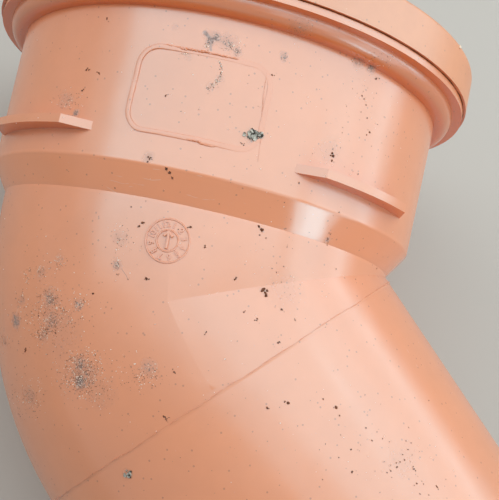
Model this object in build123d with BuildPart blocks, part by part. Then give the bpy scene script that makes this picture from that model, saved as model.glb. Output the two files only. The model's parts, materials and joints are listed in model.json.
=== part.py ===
# A 45 degree drain bend for 110 mm pipe: a push-fit socket at one end and a plain spigot at the other.
# It is drawn with its origin where the axes of the socket and the spigot meet, +Y out of the socket's mouth,
# +X on the inner side of the bend and +Z square to the plane of the bend. At the end it is laid down as it lies
# on a level floor: on its spigot and the rim of its cap, with -Y along the spigot, the floor at Z = 0 and the
# origin in the middle of the space that it takes up. Millimetres.
import os
from math import acos, asin, atan, cos, hypot, radians, sin, sqrt, tan

from build123d import *

# Driving dimensions of the pipe run
BEND_ANGLE = 45.0
PIPE_R = 55.0  # outside of the pipe and of the spigot, 110 mm across
SPIGOT_WALL = 3.2
BODY_WALL = 3.8  # the elbow is thicker than the spigot
CROTCH = 0.2  # how much the swept bend radius is over the pipe's radius, at the sharp inner corner
SPIGOT_LENGTH = 77.1  # from the end of the elbow's curve to the tip
SPIGOT_CHAMFER_LENGTH = 6.0
SPIGOT_CHAMFER_ANGLE = 15.0
BORE_STEP = 2.0  # the slope in the waterway from the elbow's wall to the spigot's
WITNESS_PLACE = 1.2  # from the end of the elbow's curve to the crest of the line where the mould's halves meet
WITNESS_RAMP = 1.1
WITNESS_FALL = 0.6
WITNESS_HEIGHT = 0.15

# Driving dimensions of the socket, from the elbow to the mouth
SHOULDER_SETBACK = 0.1  # plain pipe between the elbow's curve and the shoulder
SHOULDER_LENGTH = 6.8
SOCKET_CLEARANCE = 0.4  # all round a pushed-in pipe
SOCKET_WALL = 4.1
SOCKET_DRAFT = 0.6  # how much wider the socket is where the bulge starts
SOCKET_LENGTH = 36.8  # from the shoulder to the bulge
PIPE_STOP_LENGTH = 4.7  # the slope that stops the pushed-in pipe
BULGE_STEP = 1.3  # the flat foot of the bulge, square to the socket
BULGE_ROUND = 3.3
FLANGE_THICKNESS = 1.7
FLANGE_OVERHANG = 2.6  # how far the flange stands out from the bulge
SHOULDER_ROUND = 1.2

# Driving dimensions of the seal chamber, the clip-on cap and the ring
BULGE_WALL = 3.1  # between the seal chamber and the bulge's widest place
CHAMBER_DEPTH = 3.0  # below the flange's face
SEAM = 0.2  # the gap between the flange and the cap
CAP_OVERHANG = 0.8  # how far the cap stands out from the flange
CAP_LENGTH = 10.5
CAP_WALL = 2.2
CAP_ROUND = 1.5
CAP_MOUTH_CLEARANCE = 0.8  # wider than the socket's bore
CAP_LEAD_IN = 0.9
COLLAR_CLEARANCE = 0.25
COLLAR_WALL = 1.8
COLLAR_REACH = 1.8  # how far the collar goes down into the body
SNAP_HEIGHT = 0.5
SNAP_WIDTH = 1.0
SEAL_CLEARANCE = 0.1
SEAL_WALL = 1.6
SEAL_FOOT_WIDTH = 1.6
SEAL_FOOT_LENGTH = 4.0
LIP_CLEARANCE = 0.2  # between the pressed-back lip and the pipe
LIP_THICKNESS = 1.3
LIP_PLACE = 3.4  # the lip's edge, below the ring's upper face

# Driving dimensions of the grip ribs
RIB_PLACE = 5.9  # from the top of the shoulder to the rib's lower face
RIB_THICKNESS = 2.1
RIB_HEIGHT = 4.5
RIB_NEAR = 23.7  # foot of the ramp, across from the middle of the socket
RIB_RAMP = 7.6
RIB_LENGTH = 28.8  # from the foot of the ramp to the square end

# Places that follow from them
half_turn = radians(BEND_ANGLE / 2)
leg_direction = Vector(sin(radians(BEND_ANGLE)), -cos(radians(BEND_ANGLE)), 0)
across_leg = Vector(cos(radians(BEND_ANGLE)), sin(radians(BEND_ANGLE)), 0)  # to the inner side of the bend
mitre_plane = Plane(origin=(0, 0, 0), x_dir=(0, 0, 1), z_dir=(-sin(half_turn), cos(half_turn), 0))
elbow_reach = (PIPE_R + CROTCH) * tan(half_turn)
spigot_end = elbow_reach + SPIGOT_LENGTH
body_bore_r = PIPE_R - BODY_WALL
spigot_bore_r = PIPE_R - SPIGOT_WALL
witness_crest = elbow_reach + WITNESS_PLACE
socket_bore_r = PIPE_R + SOCKET_CLEARANCE
socket_r = socket_bore_r + SOCKET_WALL
socket_top_r = socket_r + SOCKET_DRAFT
bulge_r = socket_top_r + BULGE_STEP + BULGE_ROUND
flange_r = bulge_r + FLANGE_OVERHANG
chamber_r = bulge_r - BULGE_WALL
shoulder_start = elbow_reach + SHOULDER_SETBACK
shoulder_end = shoulder_start + SHOULDER_LENGTH
stop_start = shoulder_end - PIPE_STOP_LENGTH
bulge_start = shoulder_end + SOCKET_LENGTH
flange_start = bulge_start + BULGE_ROUND
flange_face = flange_start + FLANGE_THICKNESS
chamber_floor = flange_face - CHAMBER_DEPTH
collar_tip = flange_face - COLLAR_REACH
cap_start = flange_face + SEAM
cap_end = cap_start + CAP_LENGTH
cap_ceiling = cap_end - CAP_WALL
cap_r = flange_r + CAP_OVERHANG
cap_mouth_r = socket_bore_r + CAP_MOUTH_CLEARANCE
collar_r = chamber_r - COLLAR_CLEARANCE
collar_bore_r = collar_r - COLLAR_WALL
overlap = 1.0  # how far one body reaches into the next before they are fused


def bent_rod(radius):
    """The elbow as a solid rod: two rods mitred at the middle of the bend, with the outer side swept round."""
    bend_radius = radius + CROTCH
    reach = bend_radius * tan(half_turn)
    # Each circle starts on a side of its own, so that the seams of the two rods lie well apart
    with BuildPart() as swept_rod:
        with BuildSketch(Plane(origin=(0, reach, 0), x_dir=(-1, 0, 0), z_dir=(0, -1, 0))):
            Circle(radius)
        revolve(axis=Axis((bend_radius, reach, 0), (0, 0, 1)), revolution_arc=BEND_ANGLE)
    with BuildPart() as rod:
        with BuildSketch(Plane(origin=(0, reach, 0), x_dir=(0, 0, -1), z_dir=(0, -1, 0))):
            Circle(radius)
        extrude(amount=3 * reach)
        split(bisect_by=mitre_plane, keep=Keep.TOP)
        mirror(about=mitre_plane)
        add(swept_rod.part, mode=Mode.INTERSECT)
    return rod.part


def straight_rod(radius, from_plane, length):
    """A straight rod that carries on from the elbow."""
    with BuildPart() as rod:
        with BuildSketch(from_plane):
            Circle(radius)
        extrude(amount=length)
    return rod.part


def pipe_run(radius, socket_side_end, spigot_side_end):
    """The whole bent rod, from the socket's side to the spigot's tip."""
    reach = (radius + CROTCH) * tan(half_turn)
    socket_plane = Plane(origin=(0, reach, 0), x_dir=(-1, 0, 0), z_dir=(0, 1, 0))
    leg_plane = Plane(origin=leg_direction * reach, x_dir=-across_leg, z_dir=leg_direction)
    with BuildPart() as run:
        add(bent_rod(radius))
        add(straight_rod(radius, socket_plane, socket_side_end - reach))
        add(straight_rod(radius, leg_plane, spigot_side_end - reach))
    return run.part


def ring_round_leg(outline):
    """A solid turned round the spigot's axis, from the corners of its outline as (radius, place along the leg)."""
    with BuildPart() as ring:
        with BuildSketch(Plane.XY):
            with BuildLine():
                Polyline(*[leg_direction * along - across_leg * radius for radius, along in outline], close=True)
            make_face()
        revolve(axis=Axis((0, 0, 0), leg_direction))
    return ring.part


# The outer form, with the low ridge that the mould leaves round the spigot, and the waterway
outer_run = pipe_run(PIPE_R, shoulder_end, spigot_end)
witness_ridge = ring_round_leg(
    [
        (PIPE_R - overlap, witness_crest - WITNESS_RAMP),
        (PIPE_R, witness_crest - WITNESS_RAMP),
        (PIPE_R + WITNESS_HEIGHT, witness_crest),
        (PIPE_R, witness_crest + WITNESS_FALL),
        (PIPE_R - overlap, witness_crest + WITNESS_FALL),
    ]
)
waterway = pipe_run(body_bore_r, shoulder_end, elbow_reach + BORE_STEP / 2)
spigot_bore = ring_round_leg(
    [
        (0, elbow_reach),
        (body_bore_r, elbow_reach),
        (spigot_bore_r, elbow_reach + BORE_STEP),
        (spigot_bore_r, spigot_end + overlap),
        (0, spigot_end + overlap),
    ]
)

# The grip ribs: thin plates with a ramp at the inner end and a square outer end, two on each half of the mould
rib_r = socket_r + RIB_HEIGHT
rib_far = RIB_NEAR + RIB_LENGTH
ramp_end = RIB_NEAR + RIB_RAMP
foot_height = sqrt(socket_r**2 - RIB_NEAR**2)
crest_height = sqrt(rib_r**2 - ramp_end**2)
with BuildPart() as ribs:
    with BuildSketch(Plane.XZ.offset(-shoulder_end - RIB_PLACE)):
        Circle(rib_r)
        with BuildLine():
            Polyline(
                (RIB_NEAR, 0),
                (RIB_NEAR, foot_height),
                (ramp_end, crest_height),
                (ramp_end, rib_r),
                (rib_far, rib_r),
                (rib_far, 0),
                close=True,
            )
        make_face(mode=Mode.INTERSECT)
        Circle(socket_r - overlap, mode=Mode.SUBTRACT)
    extrude(amount=-RIB_THICKNESS)
    mirror(about=Plane.YZ)
    mirror(about=Plane.XY)

# The bend: one moulding with its shoulder, socket, bulge, flange and ribs
with BuildPart() as bend:
    with BuildSketch(Plane.XY) as socket_profile:
        with BuildLine():
            Polyline((0, shoulder_start), (PIPE_R, shoulder_start), (socket_r, shoulder_end))
            tube = Line((socket_r, shoulder_end), (socket_top_r, bulge_start))
            bulge_foot = Line(tube @ 1, (socket_top_r + BULGE_STEP, bulge_start))
            bulge = JernArc(bulge_foot @ 1, (1, 0), radius=BULGE_ROUND, arc_size=90)
            Polyline(
                bulge @ 1,
                (flange_r, flange_start),
                (flange_r, flange_face),
                (0, flange_face),
                (0, shoulder_start),
            )
        make_face()
        top_of_shoulder = socket_profile.vertices().sort_by_distance((socket_r, shoulder_end))[0]
        fillet(top_of_shoulder, radius=SHOULDER_ROUND)
    revolve(axis=Axis.Y)
    add(outer_run)
    add(witness_ridge)
    add(ribs.part)
    with BuildSketch(Plane.XY):
        with BuildLine():
            Polyline(
                (0, stop_start),
                (body_bore_r, stop_start),
                (socket_bore_r, shoulder_end),
                (socket_bore_r, chamber_floor),
                (chamber_r, chamber_floor),
                (chamber_r, collar_tip),
                (chamber_r + SNAP_HEIGHT, collar_tip + SNAP_WIDTH / 2),
                (chamber_r, collar_tip + SNAP_WIDTH),
                (chamber_r, flange_face + overlap),
                (0, flange_face + overlap),
                close=True,
            )
        make_face()
    revolve(axis=Axis.Y, mode=Mode.SUBTRACT)
    add(waterway, mode=Mode.SUBTRACT)
    add(spigot_bore, mode=Mode.SUBTRACT)
    tip_face = bend.faces().sort_by(Axis((0, 0, 0), leg_direction))[-1]
    tip_rim = tip_face.edges().sort_by(SortBy.LENGTH)[-1]
    chamfer_width = SPIGOT_CHAMFER_LENGTH * tan(radians(SPIGOT_CHAMFER_ANGLE))
    chamfer(tip_rim, length=chamfer_width, length2=SPIGOT_CHAMFER_LENGTH, reference=tip_face)

# The clip-on cap that keeps the sealing ring in: a skirt, a top with a lead-in, and a collar with a snap bead
with BuildPart() as cap:
    with BuildSketch(Plane.XY) as cap_profile:
        with BuildLine():
            Polyline(
                (collar_bore_r, collar_tip),
                (collar_r, collar_tip),
                (collar_r + SNAP_HEIGHT, collar_tip + SNAP_WIDTH / 2),
                (collar_r, collar_tip + SNAP_WIDTH),
                (collar_r, cap_ceiling),
                (cap_r - CAP_WALL, cap_ceiling),
                (cap_r - CAP_WALL, cap_start),
                (cap_r, cap_start),
                (cap_r, cap_end),
                (cap_mouth_r + CAP_LEAD_IN, cap_end),
                (cap_mouth_r, cap_end - CAP_LEAD_IN),
                (cap_mouth_r, cap_ceiling),
                (collar_bore_r, cap_ceiling),
                close=True,
            )
        make_face()
        outer_corner = cap_profile.vertices().sort_by_distance((cap_r, cap_end))[0]
        fillet(outer_corner, radius=CAP_ROUND)
    revolve(axis=Axis.Y)

# The sealing ring: a foot that fills the chamber and a lip that points into the socket
seal_r = collar_bore_r - SEAL_CLEARANCE
seal_inner_r = seal_r - SEAL_WALL
seal_low = chamber_floor + SEAL_CLEARANCE
seal_high = cap_ceiling - SEAL_CLEARANCE
lip_r = PIPE_R + LIP_CLEARANCE
lip_height = seal_high - LIP_PLACE
with BuildPart() as seal_ring:
    with BuildSketch(Plane.XY):
        with BuildLine():
            Polyline(
                (seal_r, seal_low),
                (seal_r, seal_high),
                (seal_inner_r, seal_high),
                (lip_r, lip_height),
                (lip_r, lip_height - LIP_THICKNESS),
                (seal_inner_r, lip_height),
                (seal_inner_r, seal_low + SEAL_FOOT_LENGTH),
                (seal_inner_r - SEAL_FOOT_WIDTH, seal_low + SEAL_FOOT_LENGTH / 2),
                (seal_inner_r - SEAL_FOOT_WIDTH, seal_low),
                close=True,
            )
        make_face()
    revolve(axis=Axis.Y)

# Lying down: the spigot rests along its whole length and the cap touches with the edge next to the seam,
# so the plane of the bend leans until that edge is as low as the spigot's underside
socket_slope = acos(PIPE_R / hypot(cap_r, cap_start)) - atan(cap_start / cap_r)
lean = asin(sin(socket_slope) / sin(radians(BEND_ANGLE)))
up = across_leg * sin(lean) + Vector(0, 0, cos(lean))
lying = Plane(origin=(0, 0, 0), x_dir=up.cross(leg_direction), z_dir=up)
pieces = {"bend": bend.part, "cap": cap.part, "seal_ring": seal_ring.part}
lying_pieces = {name: lying.to_local_coords(piece) for name, piece in pieces.items()}
space = Compound(list(lying_pieces.values())).bounding_box()
to_floor = Pos(-space.center().X, -space.center().Y, -space.min.Z)

os.makedirs("parts", exist_ok=True)
for name, piece in lying_pieces.items():
    placed = to_floor * piece
    placed.label = name
    export_step(placed, f"parts/{name}.step")
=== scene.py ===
# %% [markdown]
# # A 45 degree drain bend in orange-brown plastic
#
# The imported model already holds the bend, its clip-on cap and the sealing ring at their real size. This lesson
# adds what the eye looks for next: the half-gloss plastic, the fine lines and marks that the mould leaves, and
# the soil and grit that the bend has picked up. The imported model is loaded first, because everything else is
# placed on it.

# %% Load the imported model
import json
import random
from math import atan2, cos, degrees, pi, radians, sin, sqrt

import bmesh
import bpy
from mathutils import Matrix, Vector, noise
from mathutils.bvhtree import BVHTree
from mathutils.geometry import intersect_line_line


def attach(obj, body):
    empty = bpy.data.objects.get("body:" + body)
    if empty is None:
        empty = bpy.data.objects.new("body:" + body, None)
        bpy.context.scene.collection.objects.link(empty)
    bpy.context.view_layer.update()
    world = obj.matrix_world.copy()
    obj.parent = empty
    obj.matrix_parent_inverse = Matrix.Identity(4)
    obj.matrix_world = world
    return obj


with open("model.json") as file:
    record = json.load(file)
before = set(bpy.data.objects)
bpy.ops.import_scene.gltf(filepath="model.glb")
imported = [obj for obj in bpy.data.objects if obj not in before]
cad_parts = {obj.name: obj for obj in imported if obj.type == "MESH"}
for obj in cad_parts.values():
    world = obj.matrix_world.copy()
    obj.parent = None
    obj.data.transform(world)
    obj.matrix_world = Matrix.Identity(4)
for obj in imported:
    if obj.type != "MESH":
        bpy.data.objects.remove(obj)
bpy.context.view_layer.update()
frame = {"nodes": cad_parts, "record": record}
MM = 0.001


def add_object(name, data):
    """Put a new object in the scene."""
    made = bpy.data.objects.new(name, data)
    bpy.context.scene.collection.objects.link(made)
    return made


def as_mesh(name, bm):
    """Turn a finished drawing into a mesh."""
    mesh = bpy.data.meshes.new(name)
    bm.to_mesh(mesh)
    bm.free()
    return mesh


# %% [markdown]
# ## The bend's own frame
#
# The bend lies with a slight lean, so its marks are easier to place in a frame of its own. The record states the
# axis of the socket and the axis of the spigot. Where the two axes meet is this frame's origin, Y runs out of the
# socket, Z stands square to the plane of the bend and X points to its inner side. One matrix then carries any
# finished mesh to its place, and its object stays at the origin.

# %% Find the bend's own frame from the two mounts
mounts = {mount["name"]: mount for mount in frame["record"]["mounts"]}
socket_axis = Vector(mounts["socket"]["axis"]).normalized()
leg_axis = Vector(mounts["spigot"]["axis"]).normalized()
socket_place = Vector(mounts["socket"]["pos_m"])
leg_place = Vector(mounts["spigot"]["pos_m"])
meeting_point = intersect_line_line(
    socket_place, socket_place + socket_axis, leg_place, leg_place + leg_axis
)[0]
square_axis = leg_axis.cross(socket_axis).normalized()
inner_axis = socket_axis.cross(square_axis)
turn = Matrix((inner_axis, socket_axis, square_axis)).transposed()
from_bend = Matrix.Translation(meeting_point) @ turn.to_4x4()
to_bend = from_bend.inverted()
BEND_ANGLE = socket_axis.angle(-leg_axis)
print("bend angle", round(degrees(BEND_ANGLE), 2), "lean", round(degrees(square_axis.angle((0, 0, 1))), 2))

# %% [markdown]
# ## The camera
#
# The camera was found by fitting the rings of the socket and the outline of the elbow to the photograph. It looks
# almost straight down on the bend. Its place and the point it looks at are given in the bend's own frame, and its
# roll is how far the top of the picture is turned away from the socket's axis.

# %% Place the camera
PICTURE_WIDTH, PICTURE_HEIGHT = 499, 500
SENSOR_MM = 36.0
LENS_MM = 62.087
CLIP_START = 0.01
camera_place = Vector((25.197, -9.358, 246.817)) * MM
camera_target = Vector((15.479, 23.319, 0.0)) * MM
CAMERA_ROLL = radians(12.214)

forward = (camera_target - camera_place).normalized()
right = forward.cross(Vector((-sin(CAMERA_ROLL), cos(CAMERA_ROLL), 0.0))).normalized()
picture_up = right.cross(forward)
camera_turn = Matrix((right, picture_up, -forward)).transposed()
camera_matrix = from_bend @ Matrix.Translation(camera_place) @ camera_turn.to_4x4()
camera_data = bpy.data.cameras.new("camera")
camera_data.sensor_width = SENSOR_MM
camera_data.lens = LENS_MM
camera_data.clip_start = CLIP_START
camera = add_object("camera", camera_data)
camera.matrix_world = camera_matrix
bpy.context.scene.camera = camera
bpy.context.scene.view_settings.view_transform = "Standard"
print("camera height in mm", round(camera_matrix.translation.z / MM, 1))

# %% [markdown]
# ## Looking through the camera
#
# Dirt and mould marks are easiest to point at in the picture. A ray from the camera through a pixel is followed to
# the first surface that it meets, so whatever is placed by a pixel sits on the plastic that carries it and looks
# right from any side.

# %% Follow a pixel to the surface behind it
depsgraph = bpy.context.evaluated_depsgraph_get()
surface_trees = {name: BVHTree.FromObject(node, depsgraph) for name, node in frame["nodes"].items()}
PIXELS_PER_SENSOR = max(PICTURE_WIDTH, PICTURE_HEIGHT)


def surface_at(pixel_x, pixel_y):
    """The nearest point and normal behind a pixel, or None where the ray passes the bend."""
    step = SENSOR_MM / PIXELS_PER_SENSOR
    across = (pixel_x - PICTURE_WIDTH / 2) * step
    down = (pixel_y - PICTURE_HEIGHT / 2) * step
    ray = camera_matrix.to_3x3() @ Vector((across, -down, -LENS_MM)).normalized()
    start = camera_matrix.translation
    hits = [tree.ray_cast(start, ray) for tree in surface_trees.values()]
    hits = [hit for hit in hits if hit[0] is not None]
    if not hits:
        return None
    place, normal = min(hits, key=lambda hit: hit[3])[:2]
    return place, normal.normalized()


print("surface behind the middle of the picture, mm", [round(v / MM, 1) for v in surface_at(250, 250)[0]])

# %% [markdown]
# ## Shader nodes in one line each
#
# A material is a net of small nodes. Written out, a node takes a line for itself, one for each setting and one for
# each link. These helpers make a node and fill its inputs in one go: a plain value is set, and the output of
# another node is linked.

# %% Helpers for shader nodes
def give(tree, node, values):
    """Fill a node's inputs. A value is a plain one, or another node's output, which is linked."""
    for socket, value in values.items():
        if isinstance(value, bpy.types.NodeSocket):
            tree.links.new(value, node.inputs[socket])
        else:
            node.inputs[socket].default_value = value


def add_node(tree, kind, values=(), **settings):
    """A shader node with its settings made and its inputs filled."""
    node = tree.nodes.new("ShaderNode" + kind)
    for setting, value in settings.items():
        setattr(node, setting, value)
    give(tree, node, dict(values))
    return node


def number_of(tree, operation, *inputs, **settings):
    """The number that a Math node works out."""
    return add_node(tree, "Math", enumerate(inputs), operation=operation, **settings).outputs["Value"]


def vector_of(tree, operation, *inputs, **named):
    """The vector that a Vector Math node works out."""
    values = {**dict(enumerate(inputs)), **named}
    return add_node(tree, "VectorMath", values, operation=operation).outputs["Vector"]


def measure_of(tree, operation, *inputs):
    """The number that a Vector Math node works out, such as a distance."""
    return add_node(tree, "VectorMath", enumerate(inputs), operation=operation).outputs["Value"]


def ranged(tree, value, start, end, low=0.0, high=1.0, shape="LINEAR"):
    """A value carried from one range to another and held at its ends."""
    values = {"Value": value, "From Min": start, "From Max": end, "To Min": low, "To Max": high}
    return add_node(tree, "MapRange", values, interpolation_type=shape).outputs["Result"]


# A Mix node names its sockets alike for every kind of data, so they are picked by number: first, second and result
MIX_SOCKETS = {"RGBA": (6, 7, 2), "VECTOR": (4, 5, 1)}


def mixed(tree, first, second, share, kind="RGBA"):
    """A share of the second colour, or vector, mixed into the first."""
    first_at, second_at, result_at = MIX_SOCKETS[kind]
    values = {0: share, first_at: first, second_at: second}
    return add_node(tree, "Mix", values, data_type=kind).outputs[result_at]


def bumped(tree, height, strength, distance, **under):
    """The normal of a surface that a height raises in bumps."""
    values = {"Height": height, "Strength": strength, "Distance": distance, **under}
    return add_node(tree, "Bump", values).outputs["Normal"]


def start_material(name):
    """A new material: itself, its tree, its shader and its Texture Coordinate outputs."""
    material = bpy.data.materials.new(name)
    material.use_nodes = True
    tree = material.node_tree
    return material, tree, tree.nodes["Principled BSDF"], add_node(tree, "TexCoord").outputs


print("helpers for shader nodes ready")

# %% [markdown]
# ## Floor, sky and soft boxes
#
# Half-gloss plastic shows its shape by what it mirrors. The bend in the picture lies under an open sky: one broad
# pale sheet of it runs down the middle of the socket and the leg, fades towards the elbow, and ends in something
# darker. Level soft boxes overhead give the sheet, with dimmer ones at its side for the fading border. Upright ones
# to the right light the side of the leg, and a small one makes the bright spot on the shoulder. Two fill lights
# stand for the warm light that the ground throws back. They only lift the shaded sides, so they are kept out of
# the mirror images. A single large lamp would be simpler, but it would light the whole bend alike and hide the
# elbow's crease. Far from the bend the floor fades into the colour of the backdrop, where it is seen or mirrored
# but not in the light that it throws back, so no view shows a dark horizon.

# %% Lay the floor and set the sky
FLOOR_GREY, FLOOR_TINT = 0.42, (1.10, 1.0, 0.90)
FLOOR_HALF_SIZE = 4.0
FLOOR_ROUGHNESS = 0.95
WORLD_LIGHT = 0.3
WORLD_BACKDROP = 0.6
BACKDROP_TINT = (1.0, 0.98, 0.96)
FADE_FROM, FADE_TO = 0.38, 1.0
BLACK = (0, 0, 0, 1)


def seen_rays(tree):
    """1 for the rays by which a picture shows the background: seen directly, mirrored, or through clear things."""
    light_path = add_node(tree, "LightPath").outputs
    seen = light_path["Is Camera Ray"]
    for kind in ("Is Glossy Ray", "Is Transmission Ray"):
        seen = number_of(tree, "MAXIMUM", seen, light_path[kind])
    return seen


bm = bmesh.new()
bmesh.ops.create_grid(bm, x_segments=1, y_segments=1, size=FLOOR_HALF_SIZE)
floor = add_object("floor", as_mesh("floor", bm))

floor_paper, tree, shader, coordinates = start_material("floor_paper")
from_middle = measure_of(tree, "LENGTH", coordinates["Object"])
fade = ranged(tree, from_middle, FADE_FROM, FADE_TO, shape="SMOOTHSTEP")
faded = number_of(tree, "MULTIPLY", fade, seen_rays(tree))
near_colour = (*(FLOOR_GREY * part for part in FLOOR_TINT), 1)
far_colour = (*(WORLD_BACKDROP * part for part in BACKDROP_TINT), 1)
give(tree, shader, {
    "Base Color": mixed(tree, near_colour, BLACK, faded),
    "Roughness": FLOOR_ROUGHNESS,
    "Emission Color": mixed(tree, BLACK, far_colour, faded),
    "Emission Strength": 1.0,
})
floor.data.materials.append(floor_paper)

world = bpy.data.worlds.new("studio")
bpy.context.scene.world = world
world.use_nodes = True
tree = world.node_tree
sky_strength = ranged(tree, seen_rays(tree), 0.0, 1.0, WORLD_LIGHT, WORLD_BACKDROP)
give(tree, tree.nodes["Background"], {"Color": (*BACKDROP_TINT, 1), "Strength": sky_strength})
print("sky level on the bend", WORLD_LIGHT, "behind it", WORLD_BACKDROP)

# %% Hang the soft boxes
SKY_TINT = (0.86, 1.0, 1.06)
GROUND_TINT = (1.06, 0.92, 0.84)


def soft_box(name, centre, size, radiance, level=False, mirrored=True):
    """A soft box in the bend's frame, centre and size in mm. It faces straight down if level, or else the bend."""
    lamp_data = bpy.data.lights.new(name, "AREA")
    lamp_data.shape = "RECTANGLE"
    lamp_data.size, lamp_data.size_y = (side * MM for side in size)
    lamp_data.energy = radiance * pi * lamp_data.size * lamp_data.size_y
    lamp_data.color = SKY_TINT if mirrored else GROUND_TINT
    lamp = add_object(name, lamp_data)
    place = Vector(centre) * MM
    facing = Matrix()
    if not level:
        aim = Vector((0, 0, centre[2] * MM)) if mirrored else Vector((0, 0, 0))
        facing = (aim - place).to_track_quat("-Z", "Y").to_matrix().to_4x4()
    lamp.matrix_world = from_bend @ Matrix.Translation(place) @ facing
    lamp.visible_camera = False
    lamp.visible_glossy = mirrored
    print(name, "energy in W", round(lamp_data.energy, 2))


soft_box("overhead_box", (30, 352, 600), (1460, 535), 1.80, level=True)
soft_box("overhead_left", (-1000, 352, 600), (600, 535), 0.36, level=True)
soft_box("overhead_edge", (-260, 50, 600), (880, 70), 1.12, level=True)
soft_box("overhead_fade", (-260, -20, 600), (880, 70), 0.95, level=True)
soft_box("overhead_end", (-400, -120, 600), (1000, 130), 0.15, level=True)
soft_box("inner_box", (460, -205, 600), (600, 580), 0.75, level=True)
soft_box("side_high", (866, 500, 505), (1300, 430), 1.93)
soft_box("side_middle", (866, 500, 165), (1300, 250), 1.55)
soft_box("side_low", (866, 500, -20), (1300, 120), 2.1)
soft_box("side_end", (878, -396, 300), (680, 560), 1.1)
soft_box("side_floor", (415, 190, -38), (620, 76), 0.80)
soft_box("shoulder_box", (518, -458, 150), (120, 270), 2.65)
soft_box("fill_left", (-800, 350, 550), (900, 900), 0.80, mirrored=False)
soft_box("fill_right", (900, 0, 500), (900, 900), 0.34, mirrored=False)

# %% [markdown]
# ## Making a piece
#
# Every new piece is drawn in millimetres in the bend's own frame. This helper turns the finished drawing into an
# object, carries it to its place inside its mesh and lets it ride on the bend. The marks of the mould are drawn
# flat first, because a ring or a numeral is easy to draw flat, and are then bent round the tube. About half of
# their thickness is sunk, so that no gap shows under them.

# %% Helpers for new pieces
MM_TO_ROW = from_bend @ Matrix.Scale(MM, 4)
SUNK = 0.25


def finish_piece(name, bm, smooth=True):
    """Turn a drawing in the bend's frame, in mm, into a piece that rides on the bend."""
    bmesh.ops.recalc_face_normals(bm, faces=bm.faces[:])
    bmesh.ops.transform(bm, matrix=MM_TO_ROW, verts=bm.verts[:])
    for face in bm.faces:
        face.smooth = smooth
    piece = add_object(name, as_mesh(name, bm))
    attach(piece, "root")
    print(name, len(piece.data.polygons), "faces, size in mm", [round(v / MM, 1) for v in piece.dimensions])
    return piece


def wrap_on_tube(bm, radius, middle_angle):
    """Bend a flat drawing round the socket's axis. X is the way round, Y the way along, Z the height."""
    for vert in bm.verts:
        here = radius(vert.co.y) if callable(radius) else radius
        angle = middle_angle + vert.co.x / here
        vert.co = Vector(((here + vert.co.z) * sin(angle), vert.co.y, (here + vert.co.z) * cos(angle)))


def ring_line(bm, radius, width, height, steps):
    """A raised line in a circle round the origin: an octagon is turned on edge, flat side up, and spun round Z."""
    octagon = bmesh.ops.create_circle(bm, segments=8, radius=1.0, matrix=Matrix.Rotation(pi / 8, 4, "Z"))["verts"]
    bmesh.ops.transform(bm, verts=octagon, matrix=Matrix.Rotation(pi / 2, 4, "X"))
    bmesh.ops.scale(bm, vec=(width / 2, 1, height), verts=octagon)
    bmesh.ops.translate(bm, vec=(radius, 0, 0), verts=octagon)
    edges = [edge for edge in bm.edges if edge.verts[0] in octagon and edge.verts[1] in octagon]
    spin_round(bm, octagon + edges, (0, 0, 1), steps)


def spin_round(bm, section, axis, steps):
    """Spin a closed section once round an axis through the origin and close the ring."""
    bmesh.ops.spin(bm, geom=section, axis=axis, cent=(0, 0, 0), steps=steps, angle=2 * pi, use_merge=True)


def round_off(bm, geom, offset, segments, affect="EDGES", **settings):
    """Round edges or corners off and give back the new points."""
    return bmesh.ops.bevel(
        bm, geom=geom, offset=offset, segments=segments, profile=0.5, affect=affect, material=-1, **settings
    )["verts"]


def layered_noise(place, layers):
    """Coarse and fine noise added up. Each layer is a fineness and an amount."""
    return sum(noise.noise(place * fineness) * amount for fineness, amount in layers)


def share_between(value, start, end):
    """How far a value has come from start to end, from 0 to 1."""
    return min(1, max(0, (value - start) / (end - start)))


print("the base of each mark is sunk by", SUNK, "mm")

# %% [markdown]
# ## The raised frame on the socket
#
# The mould draws a thin raised frame with round corners on the socket, a field that is left bare here. A flat
# sheet gets round corners from a vertex bevel, and insetting it leaves the line. The long sides are divided before
# the frame is bent round the socket, because an undivided side would cut straight through the plastic. The mould is
# worn, so the frame stands crisp only on the left, is low below, and has all but gone above and at its right
# corners.

# %% Draw the frame
SOCKET_RADIUS, SOCKET_TOP_RADIUS = 59.5, 60.1
SOCKET_START, SOCKET_END = 29.76, 66.56
FRAME_WIDTH, FRAME_HEIGHT, FRAME_CORNER = 32.1, 21.0, 5.2
FRAME_MIDDLE_ANGLE, FRAME_MIDDLE_Y = radians(-0.78), 47.15
FRAME_LINE, FRAME_RAISED, FRAME_ROUND = 1.15, 0.22, 0.13
FRAME_CORNER_STEPS, FRAME_ROUND_STEPS = 8, 3
LONG_SIDE, LONG_SIDE_CUTS = 3, 14

bm = bmesh.new()
bmesh.ops.create_grid(bm, x_segments=1, y_segments=1, size=0.5)
bmesh.ops.scale(bm, vec=(FRAME_WIDTH, FRAME_HEIGHT, 1), verts=bm.verts[:])
round_off(bm, bm.verts[:], FRAME_CORNER, FRAME_CORNER_STEPS, affect="VERTICES", offset_type="OFFSET")
line_faces = bmesh.ops.inset_region(
    bm, faces=bm.faces[:], thickness=FRAME_LINE, use_even_offset=True, use_boundary=True
)["faces"]
bmesh.ops.delete(bm, geom=[face for face in bm.faces if face not in line_faces], context="FACES")
long_edges = [edge for edge in bm.edges if edge.calc_length() > LONG_SIDE]
bmesh.ops.subdivide_edges(bm, edges=long_edges, cuts=LONG_SIDE_CUTS, use_grid_fill=True)
raised = bmesh.ops.extrude_face_region(bm, geom=bm.faces[:])["geom"]
raised_verts = [part for part in raised if isinstance(part, bmesh.types.BMVert)]
raised_faces = [part for part in raised if isinstance(part, bmesh.types.BMFace)]
rim = [edge for edge in bm.edges if len(set(edge.link_faces) & set(raised_faces)) == 1]
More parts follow.
